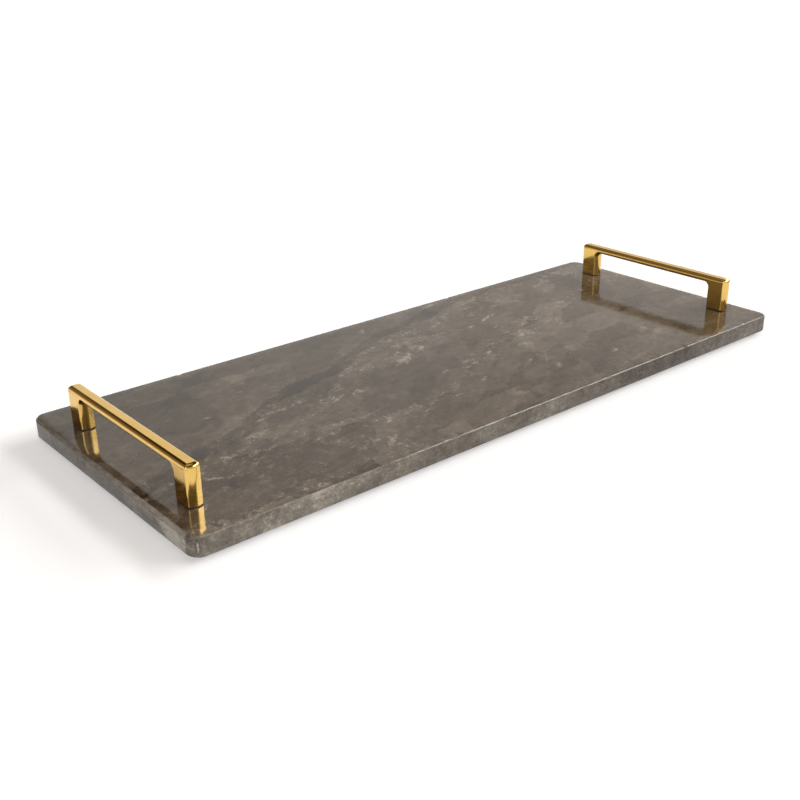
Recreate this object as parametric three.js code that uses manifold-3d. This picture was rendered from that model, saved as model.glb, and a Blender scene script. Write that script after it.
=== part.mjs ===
// Marble serving tray: a polished stone slab with a gold bar handle screwed on across each short end.
// Millimetres, +Z up, X along the slab. The origin lies on the table, under the slab's centre.

import * as THREE from 'three';
import { mergeVertices } from 'three/addons/utils/BufferGeometryUtils.js';
import Module from 'manifold-3d';

// Slab
const SLAB_LENGTH = 508;
const SLAB_WIDTH = 197;
const SLAB_THICKNESS = 12.5;
const SLAB_CORNER_RADIUS = 8;
const TOP_CHAMFER = 1.6;
const BOTTOM_CHAMFER = 0.8;

// Handles
const HANDLE_INSET = 19; // from the slab's end to the middle of the handle
const HOLE_PITCH = 127; // between the two screws of one handle
const HANDLE_HEIGHT = 25;
const HANDLE_DEPTH = 9.2; // across the bar, along the slab
const BAR_THICKNESS = 4.8;
const LEG_WIDTH = 16; // along the bar, over the bulge of both faces
const LEG_BOW = 1.8; // how far a leg's end faces bulge
const LEG_EDGE_RADIUS = 0.9;
const BAR_TOP_RADIUS = 2.8; // along the bar's two upper edges
const BAR_UNDER_RADIUS = 1.6; // along its two lower edges
const BAR_END_RADIUS = 3; // where a leg turns into the bar, outside
const INNER_FILLET = 3.5; // in the corner between leg and bar

// Leg pads
const PAD_THICKNESS = 0.5;
const PAD_SETBACK = 0.2; // from the leg's outline to the pad's

// Screws and washers
const SCREW_DIAMETER = 4;
const SCREW_ENGAGEMENT = 8; // length of thread in the leg
const SCREW_HEAD_DIAMETER = 8;
const SCREW_HEAD_HEIGHT = 2.6;
const SCREW_HEAD_ROUND = 1.2;
const SCREW_TIP_CHAMFER = 0.5;
const DRIVE_SPAN = 4.4;
const DRIVE_SLOT = 1.2;
const DRIVE_DEPTH = 1.5;
const WASHER_DIAMETER = 9;
const WASHER_THICKNESS = 0.8;
const HEAD_RECESS = 1.6; // from the slab's underside up to the screw head

// Feet
const FOOT_DIAMETER = 12;
const FOOT_HEIGHT = 3;
const FOOT_TREAD_DIAMETER = 8; // the flat that meets the table
const FOOT_RIM_HEIGHT = 1; // the straight wall next to the slab
const FOOT_END_INSET = 50; // from the slab's end to the foot's centre
const FOOT_SIDE_INSET = 20; // from the slab's long side to the foot's centre

// Clearances, each on one side
const THREAD_CLEARANCE = 0.3; // between the screw and the leg
const TIP_CLEARANCE = 2; // above the screw's tip
const STONE_CLEARANCE = 0.6; // between the screw and the slab
const WASHER_CLEARANCE = 0.3; // between the screw and its washer or pad
const COUNTERBORE_CLEARANCE = 0.6; // around the washer and the head

// Facets in one quarter turn, in a bowed end, in a full round
const CORNER_STEPS = 6;
const EDGE_STEPS = 3;
const BOW_STEPS = 4;
const ROUND_STEPS = 24;
const CUT_OVERSHOOT = 1; // how far a cutter runs past the face that it opens
const LEAST_BOW = 1e-3; // keeps the radius of a flat face finite
const MERGE_DISTANCE = 1e-4; // vertices closer than this are one

// Worked-out places
const SLAB_TOP = FOOT_HEIGHT + SLAB_THICKNESS;
const HANDLE_X = SLAB_LENGTH / 2 - HANDLE_INSET;
const LEG_Y = HOLE_PITCH / 2;
const HANDLE_BASE = SLAB_TOP + PAD_THICKNESS;
const COUNTERBORE_DEPTH = HEAD_RECESS + SCREW_HEAD_HEIGHT + WASHER_THICKNESS;
const COUNTERBORE_RADIUS = Math.max(WASHER_DIAMETER, SCREW_HEAD_DIAMETER) / 2 + COUNTERBORE_CLEARANCE;
const SEAT_Z = FOOT_HEIGHT + COUNTERBORE_DEPTH; // where the washer bears on the stone
const HEAD_TOP = SEAT_Z - WASHER_THICKNESS;
const SCREW_TIP = HANDLE_BASE + SCREW_ENGAGEMENT;

const marble = new THREE.MeshStandardMaterial({ color: 0x6d655d, roughness: 0.18, metalness: 0 });
const gold = new THREE.MeshStandardMaterial({ color: 0xd9b264, roughness: 0.14, metalness: 1 });
const steel = new THREE.MeshStandardMaterial({ color: 0xa9abac, roughness: 0.35, metalness: 1 });
const rubber = new THREE.MeshStandardMaterial({ color: 0x1d1c1b, roughness: 0.8, metalness: 0 });

const wasm = await Module();
wasm.setup();

// Points on an arc, from one angle to another, both ends included.
function arc(x, y, radius, from, to, steps) {
  const points = [];
  for (let k = 0; k <= steps; k += 1) {
    const angle = from + ((to - from) * k) / steps;
    points.push(new THREE.Vector2(x + radius * Math.cos(angle), y + radius * Math.sin(angle)));
  }
  return points;
}

// A closed mesh through a stack of rings of equal length, with a flat convex cap on each end.
function loft(rings) {
  const count = rings[0].length;
  const positions = rings.flat().flatMap((point) => [point.x, point.y, point.z]);
  const index = [];
  for (let r = 0; r + 1 < rings.length; r += 1) {
    for (let k = 0; k < count; k += 1) {
      const a = r * count + k;
      const b = r * count + ((k + 1) % count);
      index.push(a, b, b + count, a, b + count, a + count);
    }
  }
  const last = (rings.length - 1) * count;
  for (let k = 1; k + 1 < count; k += 1) {
    index.push(0, k + 1, k);
    index.push(last, last + k, last + k + 1);
  }
  const geometry = new THREE.BufferGeometry();
  geometry.setAttribute('position', new THREE.Float32BufferAttribute(positions, 3));
  geometry.setIndex(index);
  return geometry;
}

function toSolid(geometry) {
  const bare = geometry.clone();
  bare.deleteAttribute('normal');
  bare.deleteAttribute('uv');
  const merged = mergeVertices(bare, MERGE_DISTANCE);
  const mesh = new wasm.Mesh({
    numProp: 3,
    vertProperties: new Float32Array(merged.attributes.position.array),
    triVerts: new Uint32Array(merged.index.array),
  });
  return new wasm.Manifold(mesh);
}

function toGeometry(solid) {
  const mesh = solid.getMesh();
  const geometry = new THREE.BufferGeometry();
  geometry.setAttribute('position', new THREE.Float32BufferAttribute(mesh.vertProperties, 3));
  geometry.setIndex(Array.from(mesh.triVerts));
  geometry.computeVertexNormals();
  return geometry;
}

function cut(geometry, cutters) {
  const solid = cutters.reduce((left, cutter) => left.subtract(toSolid(cutter)), toSolid(geometry));
  return toGeometry(solid);
}

// An upright round bar between two heights.
function rod(radius, x, y, bottom, top) {
  const geometry = new THREE.CylinderGeometry(radius, radius, top - bottom, ROUND_STEPS);
  geometry.rotateX(Math.PI / 2);
  geometry.translate(x, y, (top + bottom) / 2);
  return geometry;
}

// A profile of [radius, height] pairs turned about Z.
function turned(profile) {
  const points = profile.map(([radius, height]) => new THREE.Vector2(radius, height));
  const geometry = new THREE.LatheGeometry(points, ROUND_STEPS);
  geometry.rotateX(Math.PI / 2);
  return geometry;
}

// The slab's outline at one height, drawn in from its full size by inset.
function slabRing(inset, z) {
  const halfLength = SLAB_LENGTH / 2 - inset;
  const halfWidth = SLAB_WIDTH / 2 - inset;
  const radius = SLAB_CORNER_RADIUS - inset;
  const ring = [];
  for (let corner = 0; corner < 4; corner += 1) {
    const sideX = corner === 0 || corner === 3 ? 1 : -1;
    const sideY = corner < 2 ? 1 : -1;
    const from = (corner * Math.PI) / 2;
    const x = sideX * (halfLength - radius);
    const y = sideY * (halfWidth - radius);
    ring.push(...arc(x, y, radius, from, from + Math.PI / 2, CORNER_STEPS));
  }
  return ring.map((point) => new THREE.Vector3(point.x, point.y, z));
}

// Every place where a leg stands, as signs along X and Y with the words that name it.
const LEGS = [];
for (const [end, sideX] of [['left', -1], ['right', 1]]) {
  for (const [side, sideY] of [['front', -1], ['back', 1]]) {
    LEGS.push({ end, side, sideX, sideY, x: sideX * HANDLE_X, y: sideY * LEG_Y });
  }
}

function slabGeometry() {
  const blank = loft([
    slabRing(BOTTOM_CHAMFER, FOOT_HEIGHT),
    slabRing(0, FOOT_HEIGHT + BOTTOM_CHAMFER),
    slabRing(0, SLAB_TOP - TOP_CHAMFER),
    slabRing(TOP_CHAMFER, SLAB_TOP),
  ]);
  const holeRadius = SCREW_DIAMETER / 2 + STONE_CLEARANCE;
  const cutters = LEGS.flatMap(({ x, y }) => [
    rod(holeRadius, x, y, FOOT_HEIGHT - CUT_OVERSHOOT, SLAB_TOP + CUT_OVERSHOOT),
    rod(COUNTERBORE_RADIUS, x, y, FOOT_HEIGHT - CUT_OVERSHOOT, SEAT_Z),
  ]);
  return cut(blank, cutters);
}

// One end of a handle section, with x across the bar and y from the section's middle to its face:
// a bowed face with a rounded edge on each side.
function sectionEnd(halfDepth, reach, bow, edge) {
  const bulge = Math.max(bow, LEAST_BOW);
  const shoulder = reach - bulge;
  const bowRadius = (halfDepth * halfDepth + bulge * bulge) / (2 * bulge);
  const bowCentre = shoulder + bulge - bowRadius;
  const edgeX = halfDepth - edge;
  const edgeY = bowCentre + Math.sqrt((bowRadius - edge) ** 2 - edgeX ** 2);
  const turn = Math.atan2(edgeY - bowCentre, edgeX);
  const right = arc(edgeX, edgeY, edge, 0, turn, EDGE_STEPS);
  const face = arc(0, bowCentre, bowRadius, turn, Math.PI - turn, BOW_STEPS);
  const left = arc(-edgeX, edgeY, edge, Math.PI - turn, Math.PI, EDGE_STEPS);
  return [...right, ...face.slice(1, -1), ...left];
}

// One closed section from a point on the outer line of the arch to one on its inner line.
// Both ends are drawn in square to their lines, so the edges keep their radius round the bend.
function sectionRing({ outer, inner, turn, bow, edge, innerEdge }) {
  const outward = new THREE.Vector2(Math.cos(turn), Math.sin(turn));
  const ends = [
    { line: outer, way: 1, radius: edge },
    { line: inner, way: -1, radius: innerEdge },
  ];
  return ends.flatMap(({ line, way, radius }) =>
    sectionEnd(HANDLE_DEPTH / 2, 0, bow, radius).map(({ x, y }) => {
      const place = outward.clone().multiplyScalar(way * y).add(line);
      return new THREE.Vector3(way * x, place.x, place.y);
    }),
  );
}

// The stations of one half of the arch, from the foot of a leg to the middle of the bar.
// Each is a pair of points in the plane of Y and Z, with the turn of the outer line's outward direction
// up from Y, the bow and the two edge radii there.
function archHalf() {
  const outerY = LEG_Y + LEG_WIDTH / 2;
  const innerY = LEG_Y - LEG_WIDTH / 2;
  const under = HANDLE_HEIGHT - BAR_THICKNESS;
  const underRadius = Math.min(BAR_UNDER_RADIUS, BAR_THICKNESS / 2, HANDLE_DEPTH / 2);
  const topRadius = Math.min(BAR_TOP_RADIUS, BAR_THICKNESS - underRadius, HANDLE_DEPTH / 2);
  const endRadius = Math.max(BAR_END_RADIUS, LEG_BOW + LEG_EDGE_RADIUS, topRadius);
  const fillet = Math.min(INNER_FILLET, under / 2);
  const stations = [{
    outer: new THREE.Vector2(outerY, 0),
    inner: new THREE.Vector2(innerY, 0),
    turn: 0,
    bow: LEG_BOW,
    edge: LEG_EDGE_RADIUS,
    innerEdge: LEG_EDGE_RADIUS,
  }];
  const quarter = Math.PI / 2;
  const outerArc = arc(outerY - endRadius, HANDLE_HEIGHT - endRadius, endRadius, 0, quarter, CORNER_STEPS);
  const innerArc = arc(innerY - fillet, under - fillet, fillet, 0, quarter, CORNER_STEPS);
  for (let k = 0; k <= CORNER_STEPS; k += 1) {
    const share = k / CORNER_STEPS;
    stations.push({
      outer: outerArc[k],
      inner: innerArc[k],
      turn: quarter * share,
      bow: LEG_BOW * (1 - share),
      edge: LEG_EDGE_RADIUS + (topRadius - LEG_EDGE_RADIUS) * share,
      innerEdge: LEG_EDGE_RADIUS + (underRadius - LEG_EDGE_RADIUS) * share,
    });
  }
  return stations;
}

function handleGeometry() {
  const half = archHalf();
  const mirror = ({ x, y }) => new THREE.Vector2(-x, y);
  const otherHalf = half.toReversed().map((station) => ({
    ...station,
    outer: mirror(station.outer),
    inner: mirror(station.inner),
    turn: Math.PI - station.turn,
  }));
  const stations = [...half, ...otherHalf];
  const rings = stations.map(sectionRing);
  const threadRadius = SCREW_DIAMETER / 2 + THREAD_CLEARANCE;
  const holeTop = SCREW_ENGAGEMENT + TIP_CLEARANCE;
  const holes = [-1, 1].map((side) => rod(threadRadius, 0, side * LEG_Y, -CUT_OVERSHOOT, holeTop));
  return cut(loft(rings), holes);
}

// A thin pad of the leg's own outline, with a hole for the screw.
function padGeometry() {
  const halfDepth = HANDLE_DEPTH / 2 - PAD_SETBACK;
  const reach = LEG_WIDTH / 2 - PAD_SETBACK;
  const end = sectionEnd(halfDepth, reach, LEG_BOW, LEG_EDGE_RADIUS);
  const otherEnd = end.map((point) => point.clone().negate());
  const shape = new THREE.Shape([...end, ...otherEnd]);
  const hole = arc(0, 0, SCREW_DIAMETER / 2 + WASHER_CLEARANCE, 0, 2 * Math.PI, ROUND_STEPS);
  shape.holes.push(new THREE.Path(hole.slice(0, -1).reverse()));
  return new THREE.ExtrudeGeometry(shape, { depth: PAD_THICKNESS, bevelEnabled: false });
}

// A pan-head screw that points up, with its head's bearing face at height 0.
function screwGeometry() {
  const headRadius = SCREW_HEAD_DIAMETER / 2;
  const shankRadius = SCREW_DIAMETER / 2;
  const length = SCREW_TIP - HEAD_TOP;
  const round = Math.min(SCREW_HEAD_ROUND, SCREW_HEAD_HEIGHT, headRadius);
  const tipChamfer = Math.min(SCREW_TIP_CHAMFER, shankRadius / 2);
  const rim = arc(headRadius - round, round - SCREW_HEAD_HEIGHT, round, -Math.PI / 2, 0, EDGE_STEPS);
  const blank = turned([
    [0, -SCREW_HEAD_HEIGHT],
    ...rim.map((point) => [point.x, point.y]),
    [headRadius, 0],
    [shankRadius, 0],
    [shankRadius, length - tipChamfer],
    [shankRadius - tipChamfer, length],
    [0, length],
  ]);
  const slots = [0, Math.PI / 2].map((turn) => {
    const slot = new THREE.BoxGeometry(DRIVE_SPAN, DRIVE_SLOT, 2 * DRIVE_DEPTH);
    slot.rotateZ(turn);
    slot.translate(0, 0, -SCREW_HEAD_HEIGHT);
    return slot;
  });
  return cut(blank, slots);
}

function washerGeometry() {
  const inner = SCREW_DIAMETER / 2 + WASHER_CLEARANCE;
  const outer = WASHER_DIAMETER / 2;
  return turned([
    [inner, 0],
    [outer, 0],
    [outer, WASHER_THICKNESS],
    [inner, WASHER_THICKNESS],
    [inner, 0],
  ]);
}

// A rubber foot that stands on height 0: a flat tread, a rounded flank and a straight rim.
function footGeometry() {
  const tread = FOOT_TREAD_DIAMETER / 2;
  const radius = FOOT_DIAMETER / 2;
  const flankHeight = FOOT_HEIGHT - FOOT_RIM_HEIGHT;
  const flank = arc(0, 0, 1, -Math.PI / 2, 0, EDGE_STEPS);
  return turned([
    [0, 0],
    ...flank.map((point) => [tread + (radius - tread) * point.x, flankHeight * (1 + point.y)]),
    [radius, FOOT_HEIGHT],
    [0, FOOT_HEIGHT],
  ]);
}

function piece(name, geometry, material, x, y, z) {
  const mesh = new THREE.Mesh(geometry, material);
  mesh.name = name;
  mesh.position.set(x, y, z);
  return mesh;
}

const tray = new THREE.Group();
tray.add(piece('marble_slab', slabGeometry(), marble, 0, 0, 0));
for (const [end, sideX] of [['left', -1], ['right', 1]]) {
  tray.add(piece(`handle_${end}`, handleGeometry(), gold, sideX * HANDLE_X, 0, HANDLE_BASE));
}
for (const { end, side, sideX, sideY, x, y } of LEGS) {
  const place = `${end}_${side}`;
  const footX = sideX * (SLAB_LENGTH / 2 - FOOT_END_INSET);
  const footY = sideY * (SLAB_WIDTH / 2 - FOOT_SIDE_INSET);
  tray.add(piece(`leg_pad_${place}`, padGeometry(), rubber, x, y, SLAB_TOP));
  tray.add(piece(`washer_${place}`, washerGeometry(), steel, x, y, HEAD_TOP));
  tray.add(piece(`screw_${place}`, screwGeometry(), steel, x, y, HEAD_TOP));
  tray.add(piece(`foot_${place}`, footGeometry(), rubber, footX, footY, 0));
}

export default tray;
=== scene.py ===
import math
from types import SimpleNamespace

import bmesh
import bpy
from mathutils import Matrix, Vector, noise


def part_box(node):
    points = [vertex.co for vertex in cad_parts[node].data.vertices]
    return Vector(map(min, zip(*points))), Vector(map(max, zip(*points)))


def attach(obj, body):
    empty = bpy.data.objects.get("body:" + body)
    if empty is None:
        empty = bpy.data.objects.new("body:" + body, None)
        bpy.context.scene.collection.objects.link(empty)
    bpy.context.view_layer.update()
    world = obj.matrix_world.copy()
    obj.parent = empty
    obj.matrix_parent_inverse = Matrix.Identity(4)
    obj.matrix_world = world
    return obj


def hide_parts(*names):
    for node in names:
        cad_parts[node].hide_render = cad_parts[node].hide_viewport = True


# A polished stone serving tray with gold bar handles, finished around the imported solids.
# Shapes are written in millimetres and turned into metres when a mesh is made.

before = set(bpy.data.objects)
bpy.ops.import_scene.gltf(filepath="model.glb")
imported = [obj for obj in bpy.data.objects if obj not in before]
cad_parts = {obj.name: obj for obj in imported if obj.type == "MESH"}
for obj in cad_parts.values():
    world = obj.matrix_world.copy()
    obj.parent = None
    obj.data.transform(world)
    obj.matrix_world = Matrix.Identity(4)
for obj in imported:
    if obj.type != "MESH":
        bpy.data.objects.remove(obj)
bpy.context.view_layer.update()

MM = 0.001
QUARTER = math.pi / 2

# The slab
slab_low, slab_high = (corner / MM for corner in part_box("marble_slab"))
HALF_LENGTH = slab_high.x
HALF_WIDTH = slab_high.y
SLAB_BOTTOM = slab_low.z
SLAB_TOP = slab_high.z
CORNER_RADIUS = 8.0
TOP_CHAMFER = 1.6
BOTTOM_CHAMFER = 0.8
LONG_CHAMFER = 0.5
LONG_DROP = 0.667
ARRIS_RADIUS = 0.25
FLAT_MARGIN = 7.0
EDGE_SPACING = 1.25

# The handles
handle_low, handle_high = (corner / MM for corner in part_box("handle_right"))
HANDLE_X = (handle_low.x + handle_high.x) / 2
HANDLE_DEPTH = handle_high.x - handle_low.x
HANDLE_BASE = handle_low.z
HANDLE_HEIGHT = handle_high.z - handle_low.z
LEG_WIDTH = 16.0
LEG_Y = handle_high.y - LEG_WIDTH / 2
BAR_THICKNESS = 4.8
LEG_BOW = 1.8
LEG_EDGE_RADIUS = 0.9
BAR_TOP_RADIUS = 2.8
BAR_UNDER_RADIUS = 1.6
BAR_END_RADIUS = 3.0
INNER_FILLET = 3.5
LEG_FOOT_ROUND = 0.25
ROUND_MIDDLE = 0.3
LEAST_BOW = 1e-3

# How far beside a rounded edge a held ring lies, which keeps the flat faces flat in shading
HOLD = 0.12

# The screws, washers, pads and feet
SCREW_RADIUS = 2.0
HEAD_RADIUS = 4.0
HEAD_HEIGHT = 2.6
HEAD_ROUND = 1.2
HEAD_STEPS = 8
SCREW_TIP_CHAMFER = 0.5
THREAD_START = 8.0
THREAD_PITCH = 0.7
THREAD_DEPTH = 0.3
RECESS_ARM = 2.2
RECESS_HALF_WIDTH = 0.6
RECESS_DEPTH = 1.5
RECESS_MOUTH = 0.98
RECESS_FLOOR = 0.62
WASHER_RADIUS = 4.5
WASHER_THICKNESS = 0.8
WASHER_EDGE = 0.12
HEAD_RECESS = 1.6
PAD_SETBACK = 0.2
PAD_EDGE_IN = 0.06
PAD_EDGE_UP = 0.1
STONE_HOLE_RADIUS = 2.6
THREAD_HOLE_RADIUS = 2.3
THREAD_HOLE_TOP = 10.0
WASHER_HOLE_RADIUS = 2.3
COUNTERBORE_RADIUS = 5.1
SEAT_Z = SLAB_BOTTOM + HEAD_RECESS + HEAD_HEIGHT + WASHER_THICKNESS
HEAD_TOP = SEAT_Z - WASHER_THICKNESS
TREAD_RADIUS = 4.0
TREAD_GROOVES = [
    # Two rings cut into a foot's tread, as radius and height
    (1.2, 0), (1.3, 0.12), (1.7, 0.12), (1.8, 0),
    (2.6, 0), (2.7, 0.12), (3.1, 0.12), (3.2, 0),
]
FOOT_RIM = 1.0
FOOT_EDGE = 0.15
FLANK_STEPS = 10
ROUND_STEPS = 48
SMALL_HOLE_STEPS = 24

# The angle in degrees above which an edge is shaded sharp
CREASE = 30
SLAB_CREASE = 38
SCREW_CREASE = 35
FOOT_CREASE = 50

# Where the handles' legs stand, as end, side and signs of x and y
LEGS = [
    (end, side, sign_x, sign_y)
    for end, sign_x in (("left", -1), ("right", 1))
    for side, sign_y in (("front", -1), ("back", 1))
]


def arc(x, y, radius, start, stop, steps):
    """Points on an arc, both ends included."""
    turns = [start + (stop - start) * k / steps for k in range(steps + 1)]
    return [Vector((x + radius * math.cos(t), y + radius * math.sin(t))) for t in turns]


def soften(points, radius, steps):
    """A bent line with each inner corner rounded to the radius."""
    path = [Vector(points[0])]
    for before, here, after in zip(points, points[1:], points[2:]):
        corner = Vector(here)
        back = (Vector(before) - corner).normalized()
        on = (Vector(after) - corner).normalized()
        half_angle = back.angle(on) / 2
        reach = radius / math.tan(half_angle)
        centre = corner + (back + on).normalized() * radius / math.sin(half_angle)
        first = corner + back * reach - centre
        last = corner + on * reach - centre
        for k in range(steps + 1):
            share = k / steps
            path.append(centre + first.slerp(last, share).normalized() * radius)
    path.append(Vector(points[-1]))
    return path


def ring_of(bm, points):
    return [bm.verts.new(point) for point in points]


def bridge(bm, first, second):
    """Quads between two closed rings of equal length."""
    count = len(first)
    for k in range(count):
        after = (k + 1) % count
        bm.faces.new((first[k], first[after], second[after], second[k]))


def bridge_all(bm, rings):
    for first, second in zip(rings, rings[1:]):
        bridge(bm, first, second)


def fill(bm, rings, up):
    """A flat face inside the first ring, with the other rings left open as holes."""
    edges = []
    for ring in rings:
        for k, vert in enumerate(ring):
            other = ring[(k + 1) % len(ring)]
            edges.append(bm.edges.get((vert, other)) or bm.edges.new((vert, other)))
    bmesh.ops.triangle_fill(bm, use_beauty=True, edges=edges, normal=(0, 0, up))


def circle(x, y, z, radius, steps=ROUND_STEPS):
    turns = [2 * math.pi * k / steps for k in range(steps)]
    return [Vector((x + radius * math.cos(t), y + radius * math.sin(t), z)) for t in turns]


def add_object(name, data):
    made = bpy.data.objects.new(name, data)
    bpy.context.scene.collection.objects.link(made)
    return made


def finish_piece(bm, name, finish, node, crease=CREASE):
    """Turns a bmesh in millimetres into a smooth-shaded piece that stands for a node."""
    bmesh.ops.recalc_face_normals(bm, faces=bm.faces)
    bmesh.ops.scale(bm, vec=(MM, MM, MM), verts=bm.verts)
    mesh = bpy.data.meshes.new(name)
    bm.to_mesh(mesh)
    bm.free()
    for polygon in mesh.polygons:
        polygon.use_smooth = True
    mesh.set_sharp_from_angle(angle=math.radians(crease))
    mesh.materials.append(finish)
    piece = add_object(name, mesh)
    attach(piece, "root")
    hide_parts(node)
    return piece


def turned(bm, profile, x, y, z, steps=ROUND_STEPS):
    """A profile of (radius, height) pairs turned about an upright line; it starts and ends on the axis."""
    rings = [ring_of(bm, circle(x, y, z + height, radius, steps)) for radius, height in profile[1:-1]]
    bridge_all(bm, rings)
    for ring, (_, height) in ((rings[0], profile[0]), (rings[-1], profile[-1])):
        tip = bm.verts.new((x, y, z + height))
        for k, vert in enumerate(ring):
            bm.faces.new((vert, ring[(k + 1) % len(ring)], tip))


class Graph:
    """Short calls that add shader nodes. Most return the new node's output socket."""

    def __init__(self, tree):
        self.tree = tree
        self.tree.nodes.clear()

    def feed(self, socket, value):
        if isinstance(value, bpy.types.NodeSocket):
            self.tree.links.new(value, socket)
        else:
            socket.default_value = value

    def node(self, kind, inputs=None, **settings):
        made = self.tree.nodes.new(kind)
        for name, value in settings.items():
            setattr(made, name, value)
        for name, value in (inputs or {}).items():
            self.feed(made.inputs[name], value)
        return made

    def math(self, operation, a, b=0.0, c=0.0, clamp=False):
        inputs = {0: a, 1: b, 2: c}
        return self.node("ShaderNodeMath", inputs, operation=operation, use_clamp=clamp).outputs[0]

    def add(self, *terms):
        total = terms[0]
        for term in terms[1:]:
            total = self.math("ADD", total, term)
        return total

    def minus(self, a, b):
        return self.math("SUBTRACT", a, b)

    def times(self, a, b):
        return self.math("MULTIPLY", a, b)

    def absolute(self, a):
        return self.math("ABSOLUTE", a)

    def most(self, *values):
        greatest = values[0]
        for value in values[1:]:
            greatest = self.math("MAXIMUM", greatest, value)
        return greatest

    def centred(self, value, amount):
        """A grey from 0 to 1 as a change to both sides of nothing."""
        return self.times(self.minus(value, 0.5), amount)

    def vector(self, operation, a, b=(0.0, 0.0, 0.0)):
        made = self.node("ShaderNodeVectorMath", {0: a, 1: b}, operation=operation)
        return made.outputs["Value" if operation == "LENGTH" else "Vector"]

    def scaled(self, a, factor):
        made = self.node("ShaderNodeVectorMath", {"Vector": a, "Scale": factor}, operation="SCALE")
        return made.outputs["Vector"]

    def split(self, vector):
        return self.node("ShaderNodeSeparateXYZ", {0: vector}).outputs

    def join(self, x, y, z):
        return self.node("ShaderNodeCombineXYZ", {0: x, 1: y, 2: z}).outputs[0]

    def turn(self, vector, degrees):
        inputs = {"Vector": vector, "Angle": math.radians(degrees)}
        return self.node("ShaderNodeVectorRotate", inputs, rotation_type="Z_AXIS").outputs[0]

    def ramp(self, value, start, stop, low=0.0, high=1.0):
        """A smooth step from low at start to high at stop."""
        inputs = {"Value": value, "From Min": start, "From Max": stop, "To Min": low, "To Max": high}
        return self.node("ShaderNodeMapRange", inputs, interpolation_type="SMOOTHSTEP").outputs[0]

    def spread(self, value, start, stop, low=0.0, high=1.0):
        """A straight line from low at start to high at stop, and flat beyond."""
        inputs = {"Value": value, "From Min": start, "From Max": stop, "To Min": low, "To Max": high}
        return self.node("ShaderNodeMapRange", inputs, clamp=True).outputs[0]

    def mix(self, factor, a, b):
        return self.node("ShaderNodeMix", {0: factor, 6: a, 7: b}, data_type="RGBA").outputs[2]

    def noise(self, vector, size, detail=4.0, rough=0.55):
        inputs = {"Vector": vector, "Scale": 1 / size, "Detail": detail, "Roughness": rough}
        return self.node("ShaderNodeTexNoise", inputs)

    def grey_noise(self, vector, size, detail=4.0, rough=0.55):
        return self.noise(vector, size, detail, rough).outputs[0]

    def cells(self, vector, size):
        """Flat broken pieces, each with its own grey from 0 to 1."""
        made = self.node("ShaderNodeTexVoronoi", {"Vector": vector, "Scale": 1 / size})
        return self.split(made.outputs["Color"])[0]

    def warp(self, vector, size, amount, detail=2.0):
        """Points pushed about by noise, by up to half the amount."""
        shift = self.vector("SUBTRACT", self.noise(vector, size, detail).outputs[1], (0.5, 0.5, 0.5))
        return self.vector("ADD", vector, self.scaled(shift, amount))

    def colours(self, value, stops):
        """A colour for each value, from stops of position and colour."""
        made = self.node("ShaderNodeValToRGB", {0: value})
        elements = made.color_ramp.elements
        while len(elements) < len(stops):
            elements.new(0.5)
        for element, (position, colour) in zip(elements, stops):
            element.position = position
            element.color = (*colour, 1.0)
        return made.outputs[0]

    def curve(self, value, points):
        """A smooth line through points from 0 to 1 both ways."""
        made = self.node("ShaderNodeFloatCurve", {"Value": value})
        line = made.mapping.curves[0]
        while len(line.points) < len(points):
            line.points.new(0.5, 0.5)
        for point, (x, y) in zip(line.points, points):
            point.location = (x, y)
        made.mapping.update()
        return made.outputs[0]

    def millimetres(self):
        return self.scaled(self.node("ShaderNodeTexCoord").outputs["Object"], 1 / MM)

    def upwards(self):
        """How far the surface faces up, from -1 to 1."""
        return self.split(self.node("ShaderNodeTexCoord").outputs["Normal"])[2]

    def bump(self, height, strength, distance):
        inputs = {"Height": height, "Strength": strength, "Distance": distance}
        return self.node("ShaderNodeBump", inputs).outputs[0]

    def surface(self, inputs):
        shader = self.node("ShaderNodeBsdfPrincipled", inputs)
        output = self.node("ShaderNodeOutputMaterial")
        self.tree.links.new(shader.outputs[0], output.inputs["Surface"])


def material(name):
    made = bpy.data.materials.new(name)
    made.use_nodes = True
    return made, Graph(made.node_tree)


def srgb(red, green, blue):
    """A colour given as 0 to 255 display values, as linear light."""
    return tuple(((v / 255 + 0.055) / 1.055) ** 2.4 for v in (red, green, blue))


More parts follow.
